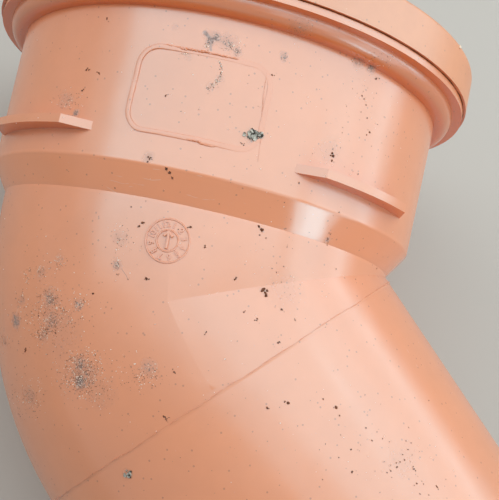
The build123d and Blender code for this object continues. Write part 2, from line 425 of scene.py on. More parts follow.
bmesh.ops.translate(bm, vec=(0, 0, FRAME_RAISED + SUNK), verts=raised_verts)
round_off(bm, rim, FRAME_ROUND, FRAME_ROUND_STEPS)
bmesh.ops.translate(bm, vec=(0, FRAME_MIDDLE_Y, -SUNK), verts=bm.verts[:])
print("flat frame", len(bm.faces), "faces")

# %% Wear the frame down and bend it round the socket
LEFT_OVER = {"left": 1.0, "top": 0.12, "bottom": 0.75, "right": 0.3, "worn corner": 0.06}
SIDE_WEAR_FROM, SIDE_WEAR_TO = -9, -4
END_WEAR_FROM, END_WEAR_TO = 3, 11
CORNER_FROM = 0.6
WAVER, WAVER_FINENESS = 0.10, 0.35
UNEVEN, UNEVEN_FINENESS = 0.5, 0.6


def socket_radius(y):
    """The socket's outer radius at a place along its axis. The mould's draft makes it a little wider outwards."""
    share = (y - SOCKET_START) / (SOCKET_END - SOCKET_START)
    return SOCKET_RADIUS + (SOCKET_TOP_RADIUS - SOCKET_RADIUS) * share


def left_over(x, y):
    """How much of the frame's height the mould still gives at a place, seen from the frame's middle."""
    up, to_right = y / (FRAME_HEIGHT / 2), share_between(x, SIDE_WEAR_FROM, SIDE_WEAR_TO)
    side = LEFT_OVER["top"] if up > 0 else LEFT_OVER["bottom"]
    end = LEFT_OVER["right"] if abs(up) < CORNER_FROM else LEFT_OVER["worn corner"]
    share = LEFT_OVER["left"] * (1 - to_right) + side * to_right
    at_end = share_between(x, END_WEAR_FROM, END_WEAR_TO)
    return share * (1 - at_end) + end * at_end


for vert in bm.verts:
    waver = noise.noise(vert.co * WAVER_FINENESS) * WAVER
    here = left_over(vert.co.x, vert.co.y - FRAME_MIDDLE_Y)
    vert.co += Vector((waver, waver, 0))
    if vert.co.z > 0:
        vert.co.z *= here * (1 + UNEVEN * noise.noise(vert.co * UNEVEN_FINENESS))
wrap_on_tube(bm, socket_radius, FRAME_MIDDLE_ANGLE)
raised_frame = finish_piece("raised_frame", bm)

# %% [markdown]
# ## The date dial
#
# Moulders set a small dial into the mould, two rings with the numbers of the months between them and an arrow in
# the middle. The rings are spun from a small octagon. The numbers are text, which is made a mesh while it still
# lies flat. The arrow is three raised bars, a shaft and two short ones for its head.

# %% Draw the dial's rings and arrow
DIAL_RADIUS, DIAL_INNER_RADIUS = 5.0, 2.45
DIAL_MIDDLE_Y, DIAL_MIDDLE_ANGLE = 14.2, radians(-0.9)
DIAL_TURN = radians(2.5)
PIPE_RADIUS = 55.0
DIAL_LINE, DIAL_RAISED = 0.42, 0.22
DIAL_STEPS, DIAL_INNER_STEPS = 72, 48
ARROW_RAISED, BAR_ROUND = 0.5, 0.3
ARROW_BARS = (((0, -1.9), (0.0, 2.1), 0.7), ((-1.05, 0.95), (0.1, 2.2), 0.6), ((1.05, 0.95), (-0.1, 2.2), 0.6))
TICK_ANGLES = (radians(222), radians(318))
TICK_WIDTH, TICK_RAISED, TICK_GAP = 0.3, 0.18, 0.1


def raised_bar(bm, start, end, width, height):
    """A raised bar with rounded top edges between two points of the flat drawing, its base sunk."""
    start, end = Vector((*start, 0)), Vector((*end, 0))
    verts = bmesh.ops.create_cube(bm, size=1)["verts"]
    bmesh.ops.scale(bm, vec=(width, (end - start).length, height + SUNK), verts=verts)
    top = [edge for edge in bm.edges if edge.verts[0] in verts and edge.verts[0].co.z > 0 and edge.verts[1].co.z > 0]
    rounded = round_off(bm, top, width * BAR_ROUND, 2)
    verts = list({vert for vert in verts + rounded if vert.is_valid})
    lie = Matrix.Rotation(atan2(end.y - start.y, end.x - start.x) - pi / 2, 4, "Z")
    middle = (start + end) / 2 + Vector((0, 0, (height - SUNK) / 2))
    bmesh.ops.transform(bm, matrix=Matrix.Translation(middle) @ lie, verts=verts)


bm = bmesh.new()
ring_line(bm, DIAL_RADIUS, DIAL_LINE, DIAL_RAISED, DIAL_STEPS)
ring_line(bm, DIAL_INNER_RADIUS, DIAL_LINE, DIAL_RAISED, DIAL_INNER_STEPS)
for start, end, width in ARROW_BARS:
    raised_bar(bm, start, end, width, ARROW_RAISED)
for tick_angle in TICK_ANGLES:
    way = Vector((cos(tick_angle), sin(tick_angle)))
    start, end = way * (DIAL_INNER_RADIUS + TICK_GAP), way * (DIAL_RADIUS - TICK_GAP)
    raised_bar(bm, start, end, TICK_WIDTH, TICK_RAISED)
print("dial rings, arrow and ticks", len(bm.faces), "faces")

# %% Set the months round the dial
NUMERAL_SIZE, NUMERAL_RAISED = 1.9, 0.2
NUMERAL_ROUND = 0.05
for month in range(1, 13):
    text = bpy.data.curves.new("month", "FONT")
    text.body = str(month)
    text.size = NUMERAL_SIZE
    text.align_x = "CENTER"
    text.align_y = "CENTER"
    text.extrude = (NUMERAL_RAISED + SUNK) / 2
    text.bevel_depth = NUMERAL_ROUND
    text.bevel_resolution = 1
    text.resolution_u = 3
    text_object = bpy.data.objects.new("month", text)
    numeral_mesh = bpy.data.meshes.new_from_object(text_object)
    turn_round = Matrix.Rotation(-2 * pi * (month - 0.5) / 12, 4, "Z")
    out = Matrix.Translation((0, (DIAL_RADIUS + DIAL_INNER_RADIUS) / 2, (NUMERAL_RAISED - SUNK) / 2 - NUMERAL_ROUND))
    numeral_mesh.transform(turn_round @ out)
    bm.from_mesh(numeral_mesh)
    bpy.data.objects.remove(text_object)
    bpy.data.meshes.remove(numeral_mesh)
    bpy.data.curves.remove(text)
bmesh.ops.transform(bm, matrix=Matrix.Rotation(DIAL_TURN, 4, "Z"), verts=bm.verts[:])
bmesh.ops.translate(bm, vec=(0, DIAL_MIDDLE_Y, 0), verts=bm.verts[:])
wrap_on_tube(bm, PIPE_RADIUS, DIAL_MIDDLE_ANGLE)
date_dial = finish_piece("date_dial", bm, smooth=False)

# %% [markdown]
# ## The line where the mould parts
#
# The core for the leg meets the core for the elbow in a ring, and a little plastic creeps into the joint. It
# stays as a thin, uneven line right round the leg. A small circle is spun round the leg's axis, and noise then
# makes the line waver, thicken and fade, which no even ring would do.

# %% Spin the mould line and let it waver
MOULD_LINE_ALONG = 24.06
MOULD_LINE_RADIUS = PIPE_RADIUS + 0.15
MOULD_LINE_HALF = (0.17, 0.085, 1)
MOULD_LINE_SUNK = 0.04
MOULD_LINE_SIDEWAYS = ((9, 0.22), (45, 0.10))
THICKER, THICKER_FINENESS, THICKER_SHIFT = 1.3, 30, Vector((0, 7, 0))
THINNEST, NARROWEST = 0.25, 0.5
MOULD_LINE_STEPS = 480
FLOOR_CLEAR = 0.03
square_axis_mm = (to_bend.to_3x3() @ Vector((0, 0, 1))).normalized()
leg_way = Vector((sin(BEND_ANGLE), -cos(BEND_ANGLE), 0))
leg_out = Vector((cos(BEND_ANGLE), sin(BEND_ANGLE), 0))
leg_turn = Matrix((leg_out, leg_way, Vector((0, 0, 1)))).transposed().to_4x4()

bm = bmesh.new()
section = bmesh.ops.create_circle(bm, segments=6, radius=1.0)["verts"]
bmesh.ops.scale(bm, vec=MOULD_LINE_HALF, verts=section)
bmesh.ops.translate(bm, vec=(MOULD_LINE_RADIUS, 0, 0), verts=section)
spin_round(bm, section + bm.edges[:], (0, 1, 0), MOULD_LINE_STEPS)
for vert in bm.verts:
    angle = atan2(vert.co.z, vert.co.x)
    on_ring = Vector((cos(angle), 0, sin(angle)))
    sideways = layered_noise(on_ring, MOULD_LINE_SIDEWAYS)
    thicker = 1 + THICKER * noise.noise(on_ring * THICKER_FINENESS + THICKER_SHIFT)
    height = sqrt(vert.co.x ** 2 + vert.co.z ** 2) - MOULD_LINE_RADIUS
    out = MOULD_LINE_RADIUS - MOULD_LINE_SUNK + height * max(THINNEST, thicker)
    vert.co = Vector((on_ring.x * out, vert.co.y * max(NARROWEST, thicker) + sideways, on_ring.z * out))
bmesh.ops.translate(bm, vec=(0, MOULD_LINE_ALONG, 0), verts=bm.verts[:])
bmesh.ops.transform(bm, matrix=leg_turn, verts=bm.verts[:])
print("mould line", len(bm.faces), "faces")

# %% Press the line flat where the bend rests on it
pressed = 0
for vert in bm.verts:
    height = (MM_TO_ROW @ vert.co).z / MM
    if height < FLOOR_CLEAR:
        vert.co += square_axis_mm * (FLOOR_CLEAR - height)
        pressed += 1
print("points pressed flat", pressed)
mould_line = finish_piece("mould_line", bm)

# %% [markdown]
# ## Dirt in the joint of the cap
#
# Fine dark soil has settled in the thin gap between the flange and the cap, and shows as an uneven dark line. Four
# corners joined in a loop and spun round the socket's axis make a narrow ring, and noise frays its outer edge. A
# dark band painted on the plastic would keep the plastic's gloss, which soil doesn't have.

# %% Spin the ring of dirt and fray its edge
DIRT_INNER, DIRT_OUTER = 66.8, 67.42
DIRT_START, DIRT_END = 71.58, 71.74
DIRT_FRAY, DIRT_LAYERS = 0.36, ((14, 0.6), (60, 0.4))
DIRT_STEPS = 720

bm = bmesh.new()
corners = [
    bm.verts.new((0, along, across))
    for along, across in (
        (DIRT_START, DIRT_INNER), (DIRT_START, DIRT_OUTER), (DIRT_END, DIRT_OUTER), (DIRT_END, DIRT_INNER)
    )
]
loop = [bm.edges.new((corners[at - 1], corners[at])) for at in range(4)]
spin_round(bm, corners + loop, (0, 1, 0), DIRT_STEPS)
for vert in bm.verts:
    from_axis = sqrt(vert.co.x ** 2 + vert.co.z ** 2)
    if from_axis > (DIRT_INNER + DIRT_OUTER) / 2:
        on_ring = Vector((vert.co.x, 0, vert.co.z)) / from_axis
        outer = from_axis + DIRT_FRAY * layered_noise(on_ring, DIRT_LAYERS)
        vert.co.x, vert.co.z = on_ring.x * outer, on_ring.z * outer
joint_dirt = finish_piece("joint_dirt", bm, smooth=False)

# %% [markdown]
# ## Scraps of flash
#
# Where the mould's inserts meet, small scraps of plastic stand up: along the top side of the raised frame, below
# its lower side, as a faint line down its right side and as a pip on the rim of the cap. Each edge is a row of
# flattened lumps. An icosphere is drawn out along the edge that it grew on and roughened with seeded noise, and
# its neighbours run into it.

# %% A rough lump, used for scraps, crumbs and grit
LUMP_FINENESS, SEED_SHIFT = 1.7, (3.1, 1.7)


def rough_lump(bm, place, out, size, seed, along=None, roughness=0.3, detail=2, sunk=0.3):
    """Add a lump in mm on the surface at place. Size is its half length, half width and half height."""
    side = (along or out.orthogonal()).normalized()
    side = (side - out * side.dot(out)).normalized()
    stand = Matrix((side, out.cross(side), out)).transposed().to_4x4()
    shape = bmesh.ops.create_icosphere(bm, subdivisions=detail, radius=1.0)["verts"]
    shift = Vector((seed * SEED_SHIFT[0], seed * SEED_SHIFT[1], 0))
    for vert in shape:
        push = 1 + roughness * noise.noise(vert.co * LUMP_FINENESS + shift)
        vert.co = vert.co * push
    settle = Matrix.Translation(place + out * size[2] * (1 - 2 * sunk)) @ stand @ Matrix.Diagonal((*size, 1))
    bmesh.ops.transform(bm, matrix=settle, verts=shape)


def mm_at(pixel_x, pixel_y):
    """The surface behind a pixel as a place in mm and a normal in the bend's own frame, or None off the bend."""
    found = surface_at(pixel_x, pixel_y)
    if found is None:
        return None
    place, normal = found
    return (to_bend @ place) / MM, (to_bend.to_3x3() @ normal).normalized()


print("place behind the dial's middle, mm", [round(v, 1) for v in mm_at(167, 241)[0]])

# %% Grow the scraps of flash
# Each edge: the pixels of its two ends, the number of scraps, their half width and their half height
FLASH_EDGES = (
    ((166, 45), (181, 48), 4, 0.20, 0.26), ((181, 48.5), (208, 52.5), 8, 0.26, 0.34),
    ((208, 53), (237, 59), 7, 0.17, 0.26), ((187, 139.5), (201, 142.5), 3, 0.28, 0.26),
    ((199, 143.5), (213, 146.5), 3, 0.22, 0.22), ((267, 72), (263, 98), 5, 0.10, 0.07),
    ((263, 100), (261, 126), 5, 0.13, 0.09), ((261, 138), (258, 160), 4, 0.09, 0.05),
)
SCRAP_LENGTHS, SCRAP_SECTIONS, SCRAP_OFF, SCRAP_SEED = (0.55, 0.8), (0.7, 1.2), (-0.3, 0.3), 7
PIP_PIXEL, PIP_SIZE, PIP_SEED = (459.6, 47), (0.55, 0.35, 0.3), 11
bm = bmesh.new()
uneven = random.Random(SCRAP_SEED)
for number, (start, end, count, thick, high) in enumerate(FLASH_EDGES):
    along = mm_at(*end)[0] - mm_at(*start)[0]
    for scrap in range(count):
        share = (scrap + 0.5) / count
        pixel_x, pixel_y = (a + (b - a) * share for a, b in zip(start, end))
        place, out = mm_at(pixel_x, pixel_y + uneven.uniform(*SCRAP_OFF))
        length = along.length / count * uneven.uniform(*SCRAP_LENGTHS)
        size = (length, thick * uneven.uniform(*SCRAP_SECTIONS), high * uneven.uniform(*SCRAP_SECTIONS))
        rough_lump(bm, place, out, size, 10 * number + scrap, along=along, roughness=0.6)
flash_scraps = finish_piece("flash_scraps", bm)

bm = bmesh.new()
rough_lump(bm, *mm_at(*PIP_PIXEL), PIP_SIZE, PIP_SEED, along=Vector((0, 1, 0)))
cap_pip = finish_piece("cap_pip", bm)

# %% [markdown]
# ## Soil crumbs
#
# The bend has lain on the ground, and crumbs of soil cling to it. Each is pointed at in the picture, and a ray
# finds the plastic under it, so a crumb always lies on the surface. The lumps are small icospheres pushed about by
# seeded noise and joined in one mesh. The two large clumps are dry, grey soil, and the small clumps, the single
# crumbs and the finest dots are dark and damp, so the mesh carries both materials.

# %% Where the crumbs lie
# Each crumb: its pixel and its size
CRUMBS = (
    (262, 230, 0.75), (262.7, 290, 0.95), (281.5, 309.5, 0.5), (257, 318.6, 0.4), (278, 343, 0.45),
    (236, 278.4, 0.35), (206.5, 332, 0.35), (244, 312, 0.3), (295, 320, 0.3), (165.5, 96, 0.4), (333, 156, 0.75),
    (369.5, 132.4, 0.45), (376, 79, 0.4), (272, 75, 0.4), (288, 403, 0.55), (336, 407, 0.65), (267, 407.5, 0.4),
    (352, 472, 0.45), (397, 467, 0.4), (414, 469, 0.4), (437, 487, 0.4), (174, 372, 0.4), (166, 419, 0.35),
    (86.6, 70, 0.45), (99, 73, 0.35), (107, 19, 0.4), (82, 90.6, 0.35), (329, 233, 0.3), (328, 239, 0.35),
    (327, 245, 0.3),
)
# Each clump: its middle and its spread in pixels, the number of crumbs and the size of the largest
CLUMPS = (
    (251.2, 135, 5.0, 3.4, 22, 0.8), (257.5, 136, 4.8, 3.0, 14, 0.75), (243, 143, 3.0, 1.5, 4, 0.3),
    (128.8, 474, 4.5, 3.5, 12, 0.6), (166.5, 169, 1.2, 2.0, 7, 0.32), (169.5, 173, 1.2, 2.4, 8, 0.36),
    (172.5, 178, 1.0, 1.4, 5, 0.3), (150, 158, 3.0, 1.5, 7, 0.32), (148, 162, 1.2, 1.2, 4, 0.28),
    (93.4, 293.7, 1.6, 0.8, 4, 0.4), (25.7, 350, 1.2, 1.6, 4, 0.4), (38.6, 315.7, 0.8, 0.8, 3, 0.3),
    (55.7, 333, 0.8, 0.8, 2, 0.3), (146.5, 278.5, 1.5, 1.5, 4, 0.35), (164.5, 417, 2.0, 1.0, 5, 0.32),
    (143, 223, 2.4, 0.9, 6, 0.34), (139, 226, 1.6, 0.9, 4, 0.3), (190, 227, 1.8, 1.5, 4, 0.34),
    (146, 279, 2.0, 1.5, 4, 0.32), (128, 279, 1.2, 0.9, 3, 0.28), (118, 275, 3.0, 1.4, 4, 0.24),
    (131, 207, 1.0, 0.9, 2, 0.34), (235, 278, 0.9, 0.9, 2, 0.42), (205, 247, 1.0, 1.6, 4, 0.26),
)
# Each dot: its pixel
DARK_DOTS = (
    (406, 441), (408, 449.5), (404.5, 460), (397.5, 467), (390.7, 471), (391.7, 477.5), (387, 472.5), (428.7, 495),
    (420, 494), (416.7, 483.5), (423.5, 484), (428.7, 400.5), (338.7, 457.5), (340.7, 435), (325.5, 444),
    (339.5, 415.5), (323, 399), (367.5, 412), (365, 395), (350, 407), (322.5, 479.5), (372, 440.5), (382.5, 438.7),
    (377, 432), (366, 428), (411, 443), (408.7, 427.5), (402.5, 454.5), (351, 449.5), (400, 462), (412, 455),
    (276.4, 272.4), (276.6, 263), (281.4, 282), (290.4, 294.6), (272, 268.4), (283.6, 266.4), (266, 238),
    (287, 247), (355.6, 279.4), (336, 269), (376.6, 268.4), (284.4, 202.4), (339, 212.4), (358, 174), (353, 171.6),
    (299, 183), (364, 99), (366, 105), (367, 118), (362, 96), (361, 112), (146, 201), (115, 188), (99, 283),
    (106, 307),
)
print(len(CRUMBS), "crumbs,", len(CLUMPS), "clumps,", len(DARK_DOTS), "dots")

# %% Place the crumbs
CRUMB_SHARE, SMALL_CLUMP_SHARE = 0.55, 0.70
PALE_SOIL_FROM = 0.6
PALE, DARK = 0, 1
DOT_SIZES = (0.11, 0.2)
CRUMB_LENGTHS, CRUMB_WIDTHS, CRUMB_HEIGHTS = (0.8, 1.15), (0.55, 0.9), (0.45, 0.7)
BESIDE_EACH, BESIDE_SIZES = 3, (0.2, 0.45)
BESIDE_SPREAD, BESIDE_SPREAD_LEAST = 2.2, 0.6
CLUMP_SIZES = (0.4, 1.0)
CHANCE_SEED, BESIDE_SEED, CLUMP_SEED, DOT_SEED = 20, 50, 200, 900
chance = random.Random(CHANCE_SEED)


def add_toned_lump(bm, tone, *lump, **settings):
    """Add a rough lump whose faces carry the material slot of its tone."""
    first_face = len(bm.faces)
    rough_lump(bm, *lump, **settings)
    bm.faces.ensure_lookup_table()
    for face in bm.faces[first_face:]:
        face.material_index = tone


def add_crumb(bm, pixel_x, pixel_y, size, seed, tone):
    """One crumb: an uneven lump lying any way round on the surface behind the pixel. Tone picks its soil."""
    found = mm_at(pixel_x, pixel_y)
    if found is None:
        return
    shape = [size * chance.uniform(*least_and_most) for least_and_most in (CRUMB_LENGTHS, CRUMB_WIDTHS, CRUMB_HEIGHTS)]
    along = Vector((chance.uniform(-1, 1), chance.uniform(-1, 1), 0.1))
    add_toned_lump(bm, tone, *found, shape, seed, along=along, roughness=0.9)


bm = bmesh.new()
for number, (pixel_x, pixel_y, size) in enumerate(CRUMBS):
    add_crumb(bm, pixel_x, pixel_y, size * CRUMB_SHARE, number, DARK)
    for beside in range(BESIDE_EACH):
        spread = BESIDE_SPREAD * size + BESIDE_SPREAD_LEAST
        near_x, near_y = (middle + chance.gauss(0, spread) for middle in (pixel_x, pixel_y))
        small = size * chance.uniform(*BESIDE_SIZES)
        add_crumb(bm, near_x, near_y, small, BESIDE_SEED + BESIDE_EACH * number + beside, DARK)
for number, (pixel_x, pixel_y, spread_x, spread_y, count, largest) in enumerate(CLUMPS):
    tone, share = (DARK, SMALL_CLUMP_SHARE) if largest < PALE_SOIL_FROM else (PALE, 1.0)
    for crumb in range(count):
        clump_x = pixel_x + chance.gauss(0, spread_x / 2)
        clump_y = pixel_y + chance.gauss(0, spread_y / 2)
        size = largest * share * chance.uniform(*CLUMP_SIZES)
        add_crumb(bm, clump_x, clump_y, size, CLUMP_SEED + 20 * number + crumb, tone)
for number, pixel in enumerate(DARK_DOTS):
    add_crumb(bm, *pixel, chance.uniform(*DOT_SIZES), DOT_SEED + number, DARK)
soil_crumbs = finish_piece("soil_crumbs", bm, smooth=False)

# %% [markdown]
# ## Fine grit
#
# Between the crumbs lies grit no larger than sand, thickest in two patches on the elbow and thinly scattered
# elsewhere. Nearly three thousand grains are needed, so each has only the twenty faces of the plainest icosphere.
# Their places are drawn from a seeded bell curve round each patch and dropped on the surface by the same ray. Each
# patch is made on its own and then added to the rest, because an operator slows down as its mesh fills up.

# %% Scatter the grit
# Each patch: its middle and its spread in pixels, and the number of grains
GRIT_PATCHES = (
    (80, 364, 10, 9, 260), (80, 382, 9, 6, 240), (147, 375, 8, 7, 110), (28, 398, 9, 11, 170), (50, 300, 7, 8, 150),
    (54, 318, 13, 8, 260), (42, 334, 6, 5, 110), (79, 304, 5, 5, 60), (60, 263, 4, 4, 40), (41, 272, 4, 4, 40),
    (27, 275, 3, 3, 20), (68, 100, 8, 7, 60), (285, 285, 22, 40, 40), (400, 460, 28, 18, 50), (116, 263, 3, 3, 30),
    (95, 372, 22, 14, 180), (38, 320, 14, 26, 120), (5, 341, 3, 6, 30), (60, 300, 30, 44, 90), (376, 60, 14, 5, 40),
    (365, 85, 8, 22, 40), (250, 250, 120, 70, 100), (250, 420, 110, 50, 90), (250, 100, 110, 45, 90),
    (345, 140, 26, 22, 40), (122, 240, 9, 9, 60), (102, 392, 10, 8, 60), (219.5, 63, 0.7, 1.4, 10),
    (221.3, 67, 0.7, 1.5, 12), (221.8, 71.5, 0.7, 1.6, 14), (220, 76.5, 0.9, 1.7, 16), (217.5, 81, 1.1, 1.4, 16),
    (213, 85, 1.6, 1.2, 18), (208.5, 88, 1.4, 0.8, 12), (186, 54, 3.0, 0.6, 14), (207, 45, 1.6, 3.0, 26),
    (233, 48, 5.0, 3.0, 50), (30, 270, 0.8, 2.4, 14), (27, 280, 0.8, 3.0, 12), (23, 292, 1.0, 3.4, 12),
    (18, 306, 1.0, 3.2, 12),
)
PALE_GRAINS, PALE_GRAIN_SIZE = 0.38, 1.3
GRAIN_SIZES, GRAIN_WIDTHS, GRAIN_HEIGHT = (0.045, 0.125), (0.6, 1.0), 0.7
DARK_GRAIN, PALE_GRAIN = 0, 1
grit = bmesh.new()
for patch_x, patch_y, spread_x, spread_y, count in GRIT_PATCHES:
    bm = bmesh.new()
    for grain in range(count):
        found = mm_at(chance.gauss(patch_x, spread_x), chance.gauss(patch_y, spread_y))
        if found is None:
            continue
        tone = PALE_GRAIN if chance.random() < PALE_GRAINS else DARK_GRAIN
        size = chance.uniform(*GRAIN_SIZES) * (PALE_GRAIN_SIZE if tone else 1.0)
        shape = (size, size * chance.uniform(*GRAIN_WIDTHS), size * GRAIN_HEIGHT)
        add_toned_lump(bm, tone, *found, shape, grain, roughness=0.8, detail=1, sunk=0.25)
    patch_mesh = as_mesh("grit_patch", bm)
    grit.from_mesh(patch_mesh)
    bpy.data.meshes.remove(patch_mesh)
grit_grains = finish_piece("grit_grains", grit, smooth=False)

# %% [markdown]
# ## Shader groups for plastic and soil
#
# The bend and its cap are moulded from the same kind of plastic, and the same dirt lies on both. The effects that
# they share are node groups, built once and given their own values in each material: soft clouds in the colour,
# round patches, a stipple, bands, streaks, specks, and the faint waves that a mould leaves. Each reads the
# object's own coordinates, so it stays put from any side.

# %% Helpers that start and finish a node group
def start_group(name, output, inputs):
    """A shader group that reads a Vector and named inputs, a number each, or None for a vector."""
    group = bpy.data.node_groups.new(name, "ShaderNodeTree")
    for socket_name, value in {"Vector": None, **inputs}.items():
        kind = "NodeSocketVector" if value is None else "NodeSocketFloat"
        socket = group.interface.new_socket(socket_name, in_out="INPUT", socket_type=kind)
        if value is not None:
            socket.default_value = value
    group.interface.new_socket(output, in_out="OUTPUT", socket_type="NodeSocketFloat")
    return group, group.nodes.new("NodeGroupInput").outputs


def finish_group(group, result):
    """Put out a group's result."""
    group.links.new(result, group.nodes.new("NodeGroupOutput").inputs[0])
    print("group", group.name, len(group.nodes), "nodes")


def noise_of(tree, place, scale, detail, roughness=0.5, output="Fac"):
    """The value or colour that a Noise Texture has at a place."""
    values = {"Vector": place, "Scale": scale, "Detail": detail, "Roughness": roughness}
    return add_node(tree, "TexNoise", values).outputs[output]


NOISE_MIDDLE = 0.5
print("helpers for shader groups ready")

# %% Soft clouds, for colour that is never quite even
CLOUD_FROM, CLOUD_TO = 0.3, 0.7
clouds, given = start_group("soft_clouds", "Value", {"Scale": 30.0, "Low": 0.9, "High": 1.1})
cloud = noise_of(clouds, given["Vector"], given["Scale"], detail=4.0, roughness=0.55)
finish_group(clouds, ranged(clouds, cloud, CLOUD_FROM, CLOUD_TO, given["Low"], given["High"]))

# %% A round patch with a broken border
BORDER_SCALE = 420.0
patch, given = start_group("round_patch", "Mask", {"Centre": None, "Radius": 0.01, "Broken": 0.5})
away = measure_of(patch, "DISTANCE", given["Vector"], given["Centre"])
share = number_of(patch, "DIVIDE", away, given["Radius"])
frayed = noise_of(patch, given["Vector"], BORDER_SCALE, detail=3.0, roughness=0.6)
border = number_of(patch, "SUBTRACT", frayed, NOISE_MIDDLE)
broken = number_of(patch, "MULTIPLY_ADD", border, given["Broken"], share)
finish_group(patch, ranged(patch, broken, 1.0, 0.0, shape="SMOOTHSTEP"))

# %% A stipple that thickens with its cover, for dust that clings in fine dots
BARE_UP_TO, LOWERED_BY_COVER, DOT_EDGE = 0.74, 0.34, 0.06
stipple, given = start_group("dust_stipple", "Mask", {"Cover": 0.5, "Scale": 2400.0})
dots = noise_of(stipple, given["Vector"], given["Scale"], detail=2.0, roughness=0.7)
bare_up_to = number_of(stipple, "MULTIPLY_ADD", given["Cover"], -LOWERED_BY_COVER, BARE_UP_TO)
above = number_of(stipple, "SUBTRACT", dots, bare_up_to)
finish_group(stipple, ranged(stipple, above, 0.0, DOT_EDGE))

# %% A band square to an axis, for the cap's joint, the bands of painted shade and painted light, and the ramp on the leg
BAND_FULL_WITHIN = 0.6
band, given = start_group("axis_band", "Mask", {"Axis": None, "Along": 0.0, "Half": 0.0003})
along_axis = measure_of(band, "DOT_PRODUCT", given["Vector"], given["Axis"])
off_middle = number_of(band, "ABSOLUTE", number_of(band, "SUBTRACT", along_axis, given["Along"]))
share_off = number_of(band, "DIVIDE", off_middle, given["Half"])
finish_group(band, ranged(band, share_off, 1.0, BAND_FULL_WITHIN))

# %% A streak between two points, for scratches and smears
WANDER_SCALE, WANDER_SIZE, STREAK_FULL_WITHIN = 160.0, 0.0016, 0.3
streak, given = start_group("streak", "Mask", {"Start": None, "End": None, "Width": 0.0004})
wander = noise_of(streak, given["Vector"], WANDER_SCALE, detail=2.0, output="Color")
to_a_side = vector_of(streak, "SUBTRACT", wander, (NOISE_MIDDLE, NOISE_MIDDLE, NOISE_MIDDLE))
wandered = vector_of(streak, "ADD", vector_of(streak, "SCALE", to_a_side, Scale=WANDER_SIZE), given["Vector"])
from_start = vector_of(streak, "SUBTRACT", wandered, given["Start"])
whole = vector_of(streak, "SUBTRACT", given["End"], given["Start"])
reach = measure_of(streak, "DOT_PRODUCT", from_start, whole)
square = measure_of(streak, "DOT_PRODUCT", whole, whole)
along_share = number_of(streak, "DIVIDE", reach, square, use_clamp=True)
miss = measure_of(streak, "DISTANCE", from_start, vector_of(streak, "SCALE", whole, Scale=along_share))
miss_share = number_of(streak, "DIVIDE", miss, given["Width"])
finish_group(streak, ranged(streak, miss_share, 1.0, STREAK_FULL_WITHIN, shape="SMOOTHSTEP"))

# %% Fine specks, thinly sown
specks, given = start_group("fine_specks", "Mask", {"Scale": 500.0, "Size": 0.2, "Sown": 0.3})
cells = add_node(specks, "TexVoronoi", {"Vector": given["Vector"], "Scale": given["Scale"]}).outputs
in_dot = number_of(specks, "LESS_THAN", cells["Distance"], given["Size"])
cell_pick = add_node(specks, "SeparateColor", {"Color": cells["Color"]}).outputs["Red"]
chosen = number_of(specks, "LESS_THAN", cell_pick, given["Sown"])
finish_group(specks, number_of(specks, "MULTIPLY", in_dot, chosen))

# %% The surface that a mould leaves
WAVE_SCALE, GRAIN_SCALE = 55.0, 1500.0
moulded, given = start_group("moulded_surface", "Height", {"Waves": 1.0, "Grain": 0.05})
waves = number_of(moulded, "MULTIPLY", noise_of(moulded, given["Vector"], WAVE_SCALE, detail=1.5), given["Waves"])
grain = noise_of(moulded, given["Vector"], GRAIN_SCALE, detail=2.0)
finish_group(moulded, number_of(moulded, "MULTIPLY_ADD", grain, given["Grain"], waves))

# %% [markdown]
# ## The plastic
#
# The pipe plastic is a strong orange-brown with a waxy half gloss. Its colour clouds a little. Painted shade gives a
# deeper, darker orange under the flange and on walls that look back along the socket, which a mask picks out by the
# way the surface faces, and painted light gives the shoulder a brighter orange. Dust greys it in patches, specks of
# soil darken it, and old scratches are paler. The dust also dulls the gloss, and the inner side of the shoulder is a
# little smoother. A picture of these would be quicker, but masks that sit on the object's own coordinates stay sharp
# at any size. The patches and streaks are pointed at in the picture and carried to the surface once, as plain numbers.

# %% Where the dust, smears and scratches lie
# Each patch: its pixel, its radius in mm and its strength
DUST_PATCHES = (
    (80, 364, 3.6, 0.75), (81, 382, 3.4, 1.0), (84, 374, 7.0, 0.55), (50, 300, 4.2, 0.75), (41, 273, 3.0, 0.5),
    (52, 322, 5.2, 0.6), (44, 336, 3.0, 0.55), (78, 304, 2.4, 0.7), (16, 322, 3.4, 1.0), (22, 300, 2.4, 0.5),
    (29, 396, 5.0, 0.55), (5, 341, 2.6, 0.6), (148, 368, 3.4, 0.6), (117, 265, 2.0, 0.85), (60, 258, 2.4, 0.4),
    (120, 238, 3.4, 0.45), (66, 100, 4.0, 0.45), (76, 113, 1.6, 0.9), (215, 37, 2.6, 0.95), (228, 42, 3.6, 0.7),
    (237, 52, 2.0, 0.7), (211, 86, 2.4, 0.4), (219, 78, 2.0, 0.4), (188, 56, 2.2, 0.4), (176, 27, 1.8, 0.35),
    (284, 57, 2.0, 0.85), (371, 68, 2.2, 0.95), (358, 62, 3.0, 0.6), (252, 138, 2.6, 0.5), (128, 474, 2.2, 0.5),
    (148, 158, 2.0, 0.7), (327, 240, 1.6, 0.75), (100, 392, 8.0, 0.3), (400, 460, 9.0, 0.3), (285, 290, 9.0, 0.3),
    (300, 30, 5.0, 0.5), (330, 150, 6.0, 0.35), (60, 330, 12.0, 0.3), (211, 40, 2.2, 0.9), (207, 34, 1.6, 0.8),
)
